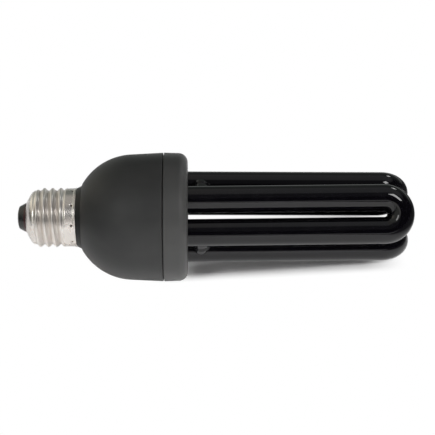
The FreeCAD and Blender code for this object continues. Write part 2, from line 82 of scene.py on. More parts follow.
NECK_LENGTH = 10
NECK_START = SKIRT_START - NECK_LENGTH
NECK_RADIUS = 11.4
NECK_BORE = 9.9
SKIRT_SEAT_RADIUS = 12.4
COLLAR_LENGTH = 2.45
COLLAR_END = SHELL_END + COLLAR_LENGTH
COLLAR_START_RADIUS = 13.0
COLLAR_END_RADIUS = 14.25
DOME_START_RADIUS = 15.05
DOME_ARC_RADIUS = 26.6
HOUSING_RADIUS = 28.7
HOUSING_DRAFT = math.radians(2.9)
HOUSING_SIDE_LENGTH = 14.4
HOUSING_INSET = 2.7
HOUSING_WALL = 1.6
DOME_CENTRE_RADIUS = (HOUSING_RADIUS - HOUSING_SIDE_LENGTH * math.tan(HOUSING_DRAFT)
                      - DOME_ARC_RADIUS * math.cos(HOUSING_DRAFT))
DOME_CENTRE = COLLAR_END + math.sqrt(DOME_ARC_RADIUS ** 2
                                     - (DOME_START_RADIUS - DOME_CENTRE_RADIUS) ** 2)
HOUSING_END = DOME_CENTRE - DOME_ARC_RADIUS * math.sin(HOUSING_DRAFT) + HOUSING_SIDE_LENGTH

SEAM_GAP = 0.4
COVER_LENGTH = 10.55
COVER_START = HOUSING_END + SEAM_GAP
COVER_END = COVER_START + COVER_LENGTH
COVER_STEP = 0.05
COVER_RADIUS = HOUSING_RADIUS + COVER_STEP
COVER_DRAFT_DEG = 1.6
COVER_DRAFT = math.radians(COVER_DRAFT_DEG)
COVER_EDGE_RADIUS = COVER_RADIUS - COVER_LENGTH * math.tan(COVER_DRAFT)
COVER_CORNER = 4.2
COVER_WALL = 1.8
SPIGOT_LENGTH = 7.5
SPIGOT_FIT = 0.1
SPIGOT_END = HOUSING_END - SPIGOT_LENGTH
SPIGOT_RADIUS = HOUSING_RADIUS - SPIGOT_LENGTH * math.tan(HOUSING_DRAFT) - HOUSING_WALL - SPIGOT_FIT
COVER_INNER_RADIUS = SPIGOT_RADIUS - COVER_WALL
PLATE_INNER = COVER_END - COVER_WALL
BOARD_THICKNESS = 1.6
LEDGE_STATION = SPIGOT_END - BOARD_THICKNESS
LEDGE_WIDTH = 1.1

TUBE_RADIUS = 6.0
BEND_RADIUS = 7.25
PLANE_OFFSET = 12.4
TUBE_LEAN = math.radians(0.45)
LEG_LENGTH = 86.35
LEG_TAIL = 8.4
BRIDGE_RADIUS = 4.0
BRIDGE_HEIGHT = 5.8
BRIDGE_FLARE = 0.9
BRIDGE_FLARE_REACH = 0.6
HOLE_RADIUS = 6.2
TUBE_TURNS_DEG = (-90, 150, 30)
TUBE_SKEWS_DEG = {-90: 0, 150: -0.45, 30: 0}

# Roundings of edges in millimetres, from edges inside the lamp to the soft rims of the mouldings
HIDDEN_EDGE = 0.02
PRESSED_EDGE = 0.05
FINE_EDGE = 0.1
NOSE_BASE_EDGE = 0.12
CONTACT_RIM = 0.15
COLLAR_EDGE = 0.2
DOME_FOOT_EDGE = 0.25
SOFT_RIM = 0.3
NOSE_TIP_EDGE = 0.8
LARGEST_ROUNDING_SHARE = 0.49

# Points along the profiles and paths, points round their sections, and how near points are welded
ROUNDING_STEPS = 5
NOSE_ROUNDING_STEPS = 8
SHELL_OUTER_STEPS = 190
SHELL_INNER_STEPS = 60
SHELL_SECTORS = 300
CONTACT_SECTORS = 96
NOSE_SECTORS = 144
DOME_OUTER_STEPS = 72
DOME_INNER_STEPS = 24
COVER_CORNER_STEPS = 24
MOULDING_SECTORS = 288
LEG_STEPS = 40
BEND_STEPS = 65
TUBE_SECTORS = 80
BRIDGE_STEPS = 61
BRIDGE_SECTORS = 48
HOLE_STEPS = 5
HOLE_SECTORS = 96
WELD_METRES = 1e-7
TINY = 1e-9

# The lamp's own axes in the row frame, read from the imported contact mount
MM = 0.001
CONTACT_MOUNT = next(mount for mount in frame["record"]["mounts"] if mount["name"] == "contact_face")
CAP_TIP = np.array(CONTACT_MOUNT["pos_m"])
ALONG = -np.array(CONTACT_MOUNT["axis"])
ALONG /= np.linalg.norm(ALONG)
ACROSS = np.array((0.0, 1.0, 0.0))
LAMP_AXES = np.array((ALONG, ACROSS, np.cross(ALONG, ACROSS)))
LAMP_TILT = math.atan2(-ALONG[2], ALONG[0])


# Surfaces

def in_row_frame(points):
    """Lamp millimetres to row-frame metres: the cap tip plus each coordinate along its lamp axis."""
    return CAP_TIP + MM * (points @ LAMP_AXES)


def in_scene(name, data):
    """A new object for the data, linked to the scene at the origin."""
    thing = bpy.data.objects.new(name, data)
    bpy.context.scene.collection.objects.link(thing)
    return thing


def grid_faces(rows, columns, wrap_rows, wrap_columns):
    """Four-cornered faces between neighbours of a grid; a wrapped direction joins last to first."""
    row = np.arange(rows if wrap_rows else rows - 1)[:, None]
    column = np.arange(columns if wrap_columns else columns - 1)[None, :]
    next_row = (row + 1) % rows
    next_column = (column + 1) % columns
    corners = (row * columns + column, row * columns + next_column,
               next_row * columns + next_column, next_row * columns + column)
    return np.stack(np.broadcast_arrays(*corners), -1).reshape(-1, 4)


def closed_mesh(name, grids, crease_deg):
    """One mesh from grids of points and their faces: near points welded, faces turned outwards."""
    points = np.concatenate([grid.reshape(-1, 3) for grid, _ in grids])
    starts = np.cumsum([0] + [grid.size // 3 for grid, _ in grids])
    faces = np.concatenate([face + start for (_, face), start in zip(grids, starts)])
    mesh = bpy.data.meshes.new(name)
    mesh.from_pydata(in_row_frame(points).tolist(), [], faces.tolist())
    work = bmesh.new()
    work.from_mesh(mesh)
    bmesh.ops.remove_doubles(work, verts=work.verts, dist=WELD_METRES)
    bmesh.ops.recalc_face_normals(work, faces=work.faces)
    work.to_mesh(mesh)
    work.free()
    mesh.shade_smooth()
    mesh.set_sharp_from_angle(angle=math.radians(crease_deg))
    return mesh


def add_piece(name, mesh, material, node):
    """Put a finished mesh into the scene in place of its CAD node, riding on the lamp's one body."""
    piece = in_scene(name, mesh)
    mesh.materials.clear()
    mesh.materials.append(material)
    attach(piece, "root")
    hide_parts(node)


def turned(profile, sectors, closed):
    """A lathe: each (station, radius) goes round the axis; a closed profile joins its ends."""
    angle = np.linspace(0, 2 * np.pi, sectors, endpoint=False)
    station = np.repeat(profile[:, :1], sectors, 1)
    radius = profile[:, 1:]
    grid = np.stack((station, radius * np.cos(angle), radius * np.sin(angle)), -1)
    return grid, grid_faces(len(profile), sectors, closed, True)


def arc_points(centre, radius, start_deg, end_deg, count):
    """Points of a circle in the (station, radius) plane, evenly spaced from one angle to the other."""
    angle = np.radians(np.linspace(start_deg, end_deg, count))
    return np.stack((centre[0] + radius * np.cos(angle), centre[1] + radius * np.sin(angle)), -1)


def unrounded(points):
    """Points of a profile as corners (station, radius, rounding) with no rounding."""
    return np.column_stack((points, np.zeros(len(points))))


def rounded_profile(corners, steps=ROUNDING_STEPS):
    """A profile with each corner (station, radius, rounding) cut by a parabola along both its sides."""
    corners = np.asarray(corners, float)
    place = corners[:, :2]
    before = np.roll(place, 1, 0) - place
    after = np.roll(place, -1, 0) - place
    before_length = np.linalg.norm(before, axis=1)
    after_length = np.linalg.norm(after, axis=1)
    reach = np.minimum(before_length, after_length) * LARGEST_ROUNDING_SHARE
    cut = np.minimum(corners[:, 2], reach)[:, None]
    start = place + before / np.maximum(before_length, TINY)[:, None] * cut
    end = place + after / np.maximum(after_length, TINY)[:, None] * cut
    share = np.linspace(0, 1, steps)[None, :, None]
    curve = ((1 - share) ** 2 * start[:, None] + 2 * share * (1 - share) * place[:, None]
             + share ** 2 * end[:, None])
    return curve.reshape(-1, 2)


def ease(value):
    """Smooth step from 0 to 1: three times the square less twice the cube."""
    value = np.clip(value, 0, 1)
    return value * value * (3 - 2 * value)


def shell_radius(station, turn):
    """Outer radius of the screw shell.

    A sine rises from the lip to the thread's root, a cosine wave that advances one pitch a turn is the
    round thread and fades in and out, then come the skirt, its rolled edge and a ring of stake marks,
    each a bell-shaped dent.
    """
    mean = THREAD_CREST_RADIUS - THREAD_DEPTH / 2
    fade_in = ease((station - THREAD_START) / THREAD_FADE)
    fade_out = ease((SKIRT_START - station) / THREAD_FADE)
    rise = np.sin(np.minimum((station - SHELL_START) / SHOULDER_LENGTH, 1) * np.pi / 2)
    radius = SHELL_LIP_RADIUS + (THREAD_ROOT_RADIUS - SHELL_LIP_RADIUS) * rise
    radius = radius + (mean - THREAD_ROOT_RADIUS) * fade_in + (SKIRT_RADIUS - mean) * (1 - fade_out)
    radius = radius + EDGE_ROLL_HEIGHT * ease((station - SHELL_END) / EDGE_ROLL_LENGTH * 2 + 2)
    wave = np.cos(2 * np.pi * ((station - THREAD_START) / THREAD_PITCH - turn - THREAD_CLOCKING))
    radius = radius + fade_in * fade_out * THREAD_DEPTH / 2 * wave
    step = (turn * STAKE_COUNT - STAKE_FIRST_DEG / 360 * STAKE_COUNT + 0.5) % 1 - 0.5
    sideways = step / STAKE_COUNT * 2 * np.pi * SKIRT_RADIUS
    distance = ((station - STAKE_STATION) ** 2 + sideways ** 2) / STAKE_RADIUS ** 2
    return radius - STAKE_DEPTH * np.exp(-distance ** 2)


def screw_shell_mesh():
    """Sheet shell: the outer face of shell_radius, then the same less the wall on the way back."""
    outer = np.linspace(SHELL_START, SHELL_END, SHELL_OUTER_STEPS)
    inner = np.linspace(SHELL_END, SHELL_START, SHELL_INNER_STEPS)
    turn = np.arange(SHELL_SECTORS)[None, :] / SHELL_SECTORS
    radius = np.concatenate((shell_radius(outer[:, None], turn),
                             shell_radius(inner[:, None], turn) - SHELL_WALL))
    station = np.repeat(np.concatenate((outer, inner))[:, None], SHELL_SECTORS, 1)
    angle = 2 * np.pi * turn
    grid = np.stack((station, radius * np.cos(angle), radius * np.sin(angle)), -1)
    faces = grid_faces(len(grid), SHELL_SECTORS, True, True)
    return closed_mesh("screw_shell_metal", [(grid, faces)], crease_deg=50)


def contact_mesh():
    """Button and shank: a profile that starts and ends on the axis, with a rounded rim."""
    corners = [(0, 0, 0), (0, CONTACT_RADIUS, CONTACT_RIM),
               (CONTACT_THICKNESS, CONTACT_RADIUS, HIDDEN_EDGE),
               (CONTACT_THICKNESS, SHANK_RADIUS, HIDDEN_EDGE),
               (SHANK_END, SHANK_RADIUS, HIDDEN_EDGE), (SHANK_END, 0, 0)]
    grid = turned(rounded_profile(corners), CONTACT_SECTORS, False)
    return closed_mesh("contact_button", [grid], crease_deg=35)


def insulator_mesh():
    """Coned nose, plug and flange as one closed profile round its bore."""
    corners = [(NOSE_START, SEAT_RADIUS, PRESSED_EDGE), (NOSE_START, NOSE_TIP_RADIUS, NOSE_TIP_EDGE),
               (SHELL_START, NOSE_BASE_RADIUS, NOSE_BASE_EDGE), (SHELL_START, LIP_BORE, HIDDEN_EDGE),
               (PLUG_END, LIP_BORE, HIDDEN_EDGE), (PLUG_END, FLANGE_RADIUS, PRESSED_EDGE),
               (FLANGE_END, FLANGE_RADIUS, PRESSED_EDGE), (FLANGE_END, INSULATOR_BORE, PRESSED_EDGE),
               (CONTACT_THICKNESS, INSULATOR_BORE, HIDDEN_EDGE),
               (CONTACT_THICKNESS, SEAT_RADIUS, HIDDEN_EDGE)]
    grid = turned(rounded_profile(corners, NOSE_ROUNDING_STEPS), NOSE_SECTORS, True)
    return closed_mesh("cap_nose", [grid], crease_deg=35)


def dome_arc(inset, stop_radius, count):
    """The dome's arc at an inset from its outer face, from the drafted side to the stop radius."""
    radius = DOME_ARC_RADIUS - inset
    start = 90 + math.degrees(HOUSING_DRAFT)
    end = 180 - math.degrees(math.asin((stop_radius - DOME_CENTRE_RADIUS) / radius))
    return arc_points((DOME_CENTRE, DOME_CENTRE_RADIUS), radius, start, end, count)


def housing_mesh():
    """Dome, collar and neck as one closed profile: outside from the rim to the neck, then back inside."""
    wall = HOUSING_WALL / math.cos(HOUSING_DRAFT)
    ledge_radius = HOUSING_RADIUS - wall - (HOUSING_END - LEDGE_STATION) * math.tan(HOUSING_DRAFT)
    rim_corners = [(HOUSING_END, HOUSING_RADIUS - wall, FINE_EDGE),
                   (HOUSING_END, HOUSING_RADIUS, SOFT_RIM)]
    outer_arc = dome_arc(0, DOME_START_RADIUS, DOME_OUTER_STEPS)
    collar_corners = [
        (COLLAR_END, DOME_START_RADIUS, DOME_FOOT_EDGE), (COLLAR_END, COLLAR_END_RADIUS, COLLAR_EDGE),
        (SHELL_END, COLLAR_START_RADIUS, COLLAR_EDGE), (SHELL_END, SKIRT_SEAT_RADIUS, HIDDEN_EDGE),
        (SKIRT_START, SKIRT_SEAT_RADIUS, HIDDEN_EDGE), (SKIRT_START, NECK_RADIUS, HIDDEN_EDGE),
        (NECK_START, NECK_RADIUS, FINE_EDGE), (NECK_START, NECK_BORE, FINE_EDGE)]
    inner_arc = dome_arc(HOUSING_INSET, NECK_BORE, DOME_INNER_STEPS)[::-1]
    ledge_corners = [(LEDGE_STATION, ledge_radius - LEDGE_WIDTH, HIDDEN_EDGE),
                     (LEDGE_STATION, ledge_radius, HIDDEN_EDGE)]
    corners = np.concatenate((rim_corners, unrounded(outer_arc[:-1]), collar_corners,
                              unrounded(inner_arc), ledge_corners))
    grid = turned(rounded_profile(corners), MOULDING_SECTORS, True)
    return closed_mesh("ballast_dome", [grid], crease_deg=40)


def cover_mesh():
    """Ring and end plate turned from one profile that ends on the axis, before its holes are cut."""
    corners = [(PLATE_INNER, 0, 0), (PLATE_INNER, COVER_INNER_RADIUS, SOFT_RIM),
               (SPIGOT_END, COVER_INNER_RADIUS, FINE_EDGE), (SPIGOT_END, SPIGOT_RADIUS, FINE_EDGE),
               (COVER_START, SPIGOT_RADIUS, HIDDEN_EDGE), (COVER_START, COVER_RADIUS, SOFT_RIM)]
    fillet = math.tan((math.pi / 2 - COVER_DRAFT) / 2) * COVER_CORNER
    centre = (COVER_END - COVER_CORNER, COVER_EDGE_RADIUS - fillet)
    corner_arc = arc_points(centre, COVER_CORNER, 90 - COVER_DRAFT_DEG, 0, COVER_CORNER_STEPS)
    corners = np.concatenate((corners, unrounded(corner_arc), [(COVER_END, 0, 0)]))
    grid = turned(rounded_profile(corners), MOULDING_SECTORS, False)
    return closed_mesh("cover_ring", [grid], crease_deg=40)


def outward(turn_deg, forward=0.0):
    """Direction away from the lamp's axis at an angle round it, with a share along the axis."""
    turn = math.radians(turn_deg)
    return np.array((forward, math.cos(turn), math.sin(turn)))


def tube_point(turn_deg, along, across):
    """A point of a tube's plane: skewed in the plane, leaning to the axis, at its offset from it."""
    skew = math.radians(TUBE_SKEWS_DEG[turn_deg])
    forward = along * math.cos(skew) - across * math.sin(skew)
    sideways = along * math.sin(skew) + across * math.cos(skew)
    turn = math.radians(turn_deg)
    side = np.array((0, -math.sin(turn), math.cos(turn)))
    offset = PLANE_OFFSET - forward * math.sin(TUBE_LEAN)
    station = COVER_END + forward * math.cos(TUBE_LEAN)
    return (station[..., None] * np.array((1, 0, 0)) + offset[..., None] * outward(turn_deg)
            + sideways[..., None] * side)


def swept(path, radius, across, sectors):
    """A round section carried along a path: each ring stands square to it, and both ends close on it."""
    tangent = np.gradient(path, axis=0)
    tangent /= np.linalg.norm(tangent, axis=1)[:, None]
    first = np.cross(tangent, across)
    first /= np.linalg.norm(first, axis=1)[:, None]
    second = np.cross(first, tangent)
    angle = np.linspace(0, 2 * np.pi, sectors, endpoint=False)[None, :, None]
    ring = np.cos(angle) * first[:, None] + np.sin(angle) * second[:, None]
    grid = path[:, None] + radius[:, None, None] * ring
    ends = [np.repeat(path[place][None, None], sectors, 1) for place in (0, -1)]
    grid = np.concatenate((ends[0], grid, ends[1]))
    return grid, grid_faces(len(grid), sectors, False, True)


def u_tube_grid(turn_deg):
    """One U tube: straight leg, half-round bend and straight leg, with a constant round section."""
    leg = np.linspace(-LEG_TAIL, LEG_LENGTH, LEG_STEPS)[:-1]
    bend = np.linspace(0, np.pi, BEND_STEPS)
    side = np.full(len(leg), BEND_RADIUS)
    along = np.concatenate((leg, LEG_LENGTH + BEND_RADIUS * np.sin(bend), leg[::-1]))
    across = np.concatenate((-side, -BEND_RADIUS * np.cos(bend), side))
    path = tube_point(turn_deg, along, across)
    square = outward(turn_deg, math.sin(TUBE_LEAN))
    return swept(path, np.full(len(path), TUBE_RADIUS), square, TUBE_SECTORS)


def bridge_grid(last_deg, next_deg):
    """Short joint between two U tubes: a rod that widens towards both walls, as fused glass does.

    The widening falls off as the exponential of the distance from the wall.
    """
    start = tube_point(last_deg, np.array(BRIDGE_HEIGHT), np.array(-BEND_RADIUS))
    end = tube_point(next_deg, np.array(BRIDGE_HEIGHT), np.array(BEND_RADIUS))
    share = np.linspace(0, 1, BRIDGE_STEPS)
    clear = np.minimum(share, 1 - share) * np.linalg.norm(end - start) - TUBE_RADIUS
    radius = BRIDGE_RADIUS + BRIDGE_FLARE * np.exp(-np.maximum(clear, 0) / BRIDGE_FLARE_REACH)
    path = start + share[:, None] * (end - start)
    return swept(path, radius, np.array((1.0, 0, 0)), BRIDGE_SECTORS)


def discharge_tube_mesh():
    """Three U tubes and the two bridges that join them in a row."""
    grids = [u_tube_grid(turn) for turn in TUBE_TURNS_DEG]
    grids += [bridge_grid(last, this) for last, this in zip(TUBE_TURNS_DEG, TUBE_TURNS_DEG[1:])]
    return closed_mesh("black_glass_tubes", grids, crease_deg=60)


def leg_hole_cutter():
    """Six straight rods on the legs' lines, a little wider than the tubes."""
    along = np.linspace(-LEG_TAIL, LEG_TAIL, HOLE_STEPS)
    radius = np.full(HOLE_STEPS, HOLE_RADIUS)
    grids = []
    for turn_deg in TUBE_TURNS_DEG:
        for side in (-BEND_RADIUS, BEND_RADIUS):
            path = tube_point(turn_deg, along, np.full(HOLE_STEPS, side))
            grids.append(swept(path, radius, outward(turn_deg), HOLE_SECTORS))
    return closed_mesh("leg_hole_cutter", grids, crease_deg=40)


def drilled(mesh, cutter_mesh, crease_deg):
    """The mesh with the cutter's rods taken away."""
    body = in_scene("drilled_body", mesh)
    cutter = in_scene("drill_rods", cutter_mesh)
    cut = body.modifiers.new("holes", "BOOLEAN")
    cut.object = cutter
    cut.operation = "DIFFERENCE"
    cut.solver = "EXACT"
    drilled_body = body.evaluated_get(bpy.context.evaluated_depsgraph_get())
    result = bpy.data.meshes.new_from_object(drilled_body)
    for thing in (body, cutter):
        bpy.data.objects.remove(thing)
    result.name = mesh.name
    result.shade_smooth()
    result.set_sharp_from_angle(angle=math.radians(crease_deg))
    return result


# Materials

class Wire:
    """A socket in a node tree that takes part in sums: each operator adds one Math node."""

    def __init__(self, tree, socket=None):
        self.tree = tree
        self.socket = socket

    def node(self, kind, settings=None, inputs=None, output=0):
        """Add a node of this kind: its settings first, then the value or link of each named input."""
        made = self.tree.nodes.new(kind)
        for name, value in (settings or {}).items():
            setattr(made, name, value)
        for name, value in (inputs or {}).items():
            if isinstance(value, Wire):
                self.tree.links.new(value.socket, made.inputs[name])
            else:
                made.inputs[name].default_value = value
        return Wire(self.tree, made.outputs[output]) if output is not None else None

    def sibling(self, output):
        """Another output of the node that this wire comes from."""
        return Wire(self.tree, self.socket.node.outputs[output])

    def math(self, operation, first, second=0.0):
        """One Math node on one or two values."""
        return self.node("ShaderNodeMath", {"operation": operation}, {0: first, 1: second})

    def __add__(self, other):
        return self.math("ADD", self, other)

    def __radd__(self, other):
        return self.math("ADD", other, self)

    def __sub__(self, other):
        return self.math("SUBTRACT", self, other)

    def __rsub__(self, other):
        return self.math("SUBTRACT", other, self)

    def __mul__(self, other):
        return self.math("MULTIPLY", self, other)

    def __rmul__(self, other):
        return self.math("MULTIPLY", other, self)

    def between(self, low, high):
        """Smooth 0 to 1 as the value goes from low to high."""
        return self.node("ShaderNodeMapRange", {"interpolation_type": "SMOOTHSTEP"},
                         {"Value": self, "From Min": low, "From Max": high})

    def blend(self, first, second):
        """Colour between two colours, each a wire or RGB values, by this value as the factor."""
        first, second = (end if isinstance(end, Wire) else (*end, 1) for end in (first, second))
        return self.node("ShaderNodeMix", {"data_type": "RGBA"}, {0: self, 6: first, 7: second}, 2)


def empty_tree(owner):
    """The cleared node tree of a material or world, as a wire to build from."""
    owner.use_nodes = True
    owner.node_tree.nodes.clear()
    return Wire(owner.node_tree)


def new_material(name, constants):
    """A material with only its shader, whose even values are set on the shader itself."""
    material = bpy.data.materials.new(name)
    start = empty_tree(material)
    shader = start.tree.nodes.new("ShaderNodeBsdfPrincipled")
    output = start.tree.nodes.new("ShaderNodeOutputMaterial")
    start.tree.links.new(shader.outputs[0], output.inputs[0])
    for key, value in constants.items():
        shader.inputs[key].default_value = value
    return material, shader, start


def feed(shader, **wires):
    """Link wires to the shader's sockets, named with underscores for blanks."""
    for name, wire in wires.items():
        wire.tree.links.new(wire.socket, shader.inputs[name.replace("_", " ")])


def lamp_millimetres(start):
    """Object coordinates turned and scaled to the lamp's own axes, in millimetres from the cap tip."""
    place = start.node("ShaderNodeTexCoord", output="Object")
    return start.node("ShaderNodeMapping", {"vector_type": "TEXTURE"},
                      {"Vector": place, "Location": tuple(CAP_TIP), "Rotation": (0, LAMP_TILT, 0),
                       "Scale": (MM, MM, MM)})


def noise(place, scale, detail=2.0, roughness=0.5):
    """Noise with its grain given per millimetre."""
    return place.node("ShaderNodeTexNoise", None,
                      {"Vector": place, "Scale": scale, "Detail": detail, "Roughness": roughness}, "Fac")


def stretched(place, factors):
    """The same place with each axis scaled, so that a grain runs along one direction."""
    return place.node("ShaderNodeVectorMath", {"operation": "MULTIPLY"}, {0: place, 1: factors})


def round_axis(place):
    """Station along the axis, distance from it and angle round it."""
    station = place.node("ShaderNodeSeparateXYZ", None, {0: place}, "X")
    y = station.sibling("Y")
    z = station.sibling("Z")
    return station, place.math("SQRT", y * y + z * z), place.math("ARCTAN2", z, y)


def bump(height, strength, tall_mm):
    """Bump from a height; tall_mm is how tall a height of one is."""
    return height.node("ShaderNodeBump", None,
                       {"Height": height, "Strength": strength, "Distance": tall_mm * MM})


def moulded_plastic():
    """Charcoal moulding: fine spark-eroded grain, faint cloudy tone, paler ring, and painted shade on the
    collar and the dome's foot.
    """
    material, shader, start = new_material("charcoal_moulding", {"IOR": 1.5, "Specular IOR Level": 0.34})
    place = lamp_millimetres(start)
    station, _, _ = round_axis(place)
    grain = noise(place, 2.6, detail=3.0, roughness=0.6)
    cloud = noise(place, 0.09)
    flow = noise(stretched(place, (0.05, 0.6, 0.6)), 0.5)
    seam_middle = (HOUSING_END + COVER_START) / 2
    seam = 1 - place.math("ABSOLUTE", station - seam_middle).between(0.25, 0.75)
    ring = station.between(COVER_START - 0.1, COVER_START + 0.1)
    # Painted shade: the collar and the foot of the dome beside it are darkened, in the crease between shell
    # and dome
    collar = 1 - station.between(COLLAR_END - 0.1, COLLAR_END + 0.5)
    tone = (cloud * 0.6 + flow * 0.25 + grain * 0.15).between(0.25, 0.75)
    base = tone.blend((0.0268, 0.0274, 0.0274), (0.0340, 0.0346, 0.0340))
    base = (ring * 0.5).blend(base, (0.0890, 0.0888, 0.0876))
    base = collar.blend(base, (0.0070, 0.0072, 0.0070))
    base = (seam * 0.4).blend(base, (0.035, 0.035, 0.035))
    rough = 0.37 + grain * 0.1 + cloud * 0.06 - seam * 0.06 - ring * 0.05
    feed(shader, Base_Color=base, Roughness=rough, Normal=bump(grain, strength=0.35, tall_mm=0.03))
    return material


def black_glass():
    """Deep violet-black glass: almost no colour of its own, drawn a little wavy, with a faint film."""
    material, shader, start = new_material("violet_black_glass", {"IOR": 1.52, "Specular IOR Level": 0.5})
    place = lamp_millimetres(start)
    wave = noise(stretched(place, (0.35, 1.0, 1.0)), 0.11, detail=1.0, roughness=0.4)
    film = noise(place, 0.16, detail=4.0, roughness=0.6).between(0.45, 0.75)
    specks = noise(place, 1.1, detail=1.0).between(0.72, 0.8)
    base = film.blend((0.0016, 0.0013, 0.0024), (0.0040, 0.0037, 0.0048))
    base = (specks * 0.25).blend(base, (0.03, 0.03, 0.032))
    rough = 0.03 + film * 0.03 + specks * 0.12
    feed(shader, Base_Color=base, Roughness=rough, Normal=bump(wave, strength=0.07, tall_mm=0.25))
    return material


def plated_shell_metal():
    """Nickel plate on rolled sheet: warm bloom, lines round the axis, and painted shade in the thread's
    roots and the stake marks.
    """
    material, shader, start = new_material("nickel_plate", {"Metallic": 1.0})
    place = lamp_millimetres(start)
    station, radius, angle = round_axis(place)
    rolled = place.node("ShaderNodeCombineXYZ", None, {0: station * 9.0, 1: angle * 1.2, 2: radius * 2.0})
    lines = noise(rolled, 1.0, detail=3.0, roughness=0.6)
    bloom = noise(place, 0.22, detail=3.0, roughness=0.55).between(0.35, 0.7)
    root = 1 - radius.between(THREAD_ROOT_RADIUS - 0.1, THREAD_CREST_RADIUS - 0.55 * THREAD_DEPTH)
    thread = station.between(THREAD_START, THREAD_START + 1.5)
    thread = thread * (1 - station.between(SKIRT_START - 2.0, SKIRT_START))
    stake_band = station.between(STAKE_STATION - 1.1, STAKE_STATION - 0.7)
    stake_band = stake_band * (1 - station.between(STAKE_STATION + 0.7, STAKE_STATION + 1.1))
    stake_pit_shade = (1 - radius.between(SKIRT_RADIUS - 0.22, SKIRT_RADIUS - 0.06)) * stake_band
    base = bloom.blend((0.80, 0.765, 0.725), (0.77, 0.715, 0.67))
    # Painted shade: the thread's roots and the insides of the stake marks are darkened in the colour
    base = (root * thread * 0.4).blend(base, (0.26, 0.21, 0.17))
    base = stake_pit_shade.blend(base, (0.07, 0.045, 0.035))
    rough = 0.20 + lines * 0.08 + bloom * 0.05 + thread * 0.08
    feed(shader, Base_Color=base, Roughness=rough, Normal=bump(lines, strength=0.12, tall_mm=0.02))
    return material


def cap_nose_glass():
    """Black pressed glass of the cap's nose, with a dark red-brown band beside the shell's lip."""
    material, shader, start = new_material("pressed_black_glass", {"IOR": 1.52})
    place = lamp_millimetres(start)
    station, _, _ = round_axis(place)
    ripple = noise(place, 0.9, detail=3.0)
    red_brown_lip_band = (station + ripple * 0.9).between(SHELL_START - 1.0, SHELL_START)
    base = ripple.blend((0.007, 0.0085, 0.0095), (0.016, 0.017, 0.017))
    base = (red_brown_lip_band * 0.85).blend(base, (0.055, 0.010, 0.012))
    feed(shader, Base_Color=base, Roughness=0.16 + ripple * 0.14,
         Normal=bump(ripple, strength=0.18, tall_mm=0.12))
    return material


def soft_metal(name, bright, dark, rough, grain):
    """Tinned or soldered metal: two greys in blotches, each with its own roughness."""
    material, shader, start = new_material(name, {"Metallic": 1.0})
    place = lamp_millimetres(start)
    blotch = noise(place, grain, detail=4.0, roughness=0.6).between(0.3, 0.7)
    fine = noise(place, grain * 8)
    feed(shader, Base_Color=blotch.blend(dark, bright), Roughness=rough + 0.2 * fine + 0.1 * blotch,
         Normal=bump(fine * 0.4 + blotch, strength=0.2, tall_mm=0.05))
    return material


def inner_finish(name, light, dark, rough, grain):
    """Finish of a piece inside the housing: two shades in cloudy grain, with bump and uneven gloss."""
    material, shader, start = new_material(name, {})
    place = lamp_millimetres(start)
    cloud = noise(place, grain, detail=3.0, roughness=0.55)
    fine = noise(place, grain * 9)
    tone = (cloud * 0.7 + fine * 0.3).between(0.3, 0.7)
    feed(shader, Base_Color=tone.blend(dark, light), Roughness=rough - 0.05 + 0.1 * fine + 0.06 * cloud,
         Normal=bump(fine, strength=0.25, tall_mm=0.04))
    return material


def wound_wire():
    """Enamelled copper laid in turns: rounds of wire side by side along the coil, with painted shade in the
    grooves between them.
    """
    material, shader, start = new_material("enamelled_copper", {"Metallic": 0.9})
    wire_thickness = 0.32
    place = lamp_millimetres(start)
    station, _, _ = round_axis(place)
    ridge_and_groove_shade = place.math("SINE", station * (2 * math.pi / wire_thickness)) * 0.5 + 0.5
    shade = noise(place, 0.6, detail=3.0)
    # Painted shade: the copper is darker in the grooves between turns
    base = (ridge_and_groove_shade * 0.6 + shade * 0.4).blend((0.20, 0.055, 0.018), (0.62, 0.24, 0.10))
    feed(shader, Base_Color=base, Roughness=0.28 + 0.15 * shade,
         Normal=bump(ridge_and_groove_shade, strength=0.6, tall_mm=0.1))
    return material


def board_laminate():
    """Phenolic board: brown paper laminate with a criss-cross of faint fibres."""
    material, shader, start = new_material("paper_laminate", {})
    place = lamp_millimetres(start)
    fibre_a = noise(stretched(place, (1.0, 0.2, 3.0)), 1.2, detail=3.0, roughness=0.6)
    fibre_b = noise(stretched(place, (1.0, 3.0, 0.2)), 1.2, detail=3.0, roughness=0.6)
    tone = (fibre_a * 0.5 + fibre_b * 0.5).between(0.3, 0.7)
    base = tone.blend((0.16, 0.085, 0.035), (0.29, 0.17, 0.075))
    feed(shader, Base_Color=base, Roughness=0.42 + 0.15 * tone,
         Normal=bump(tone, strength=0.2, tall_mm=0.04))
    return material


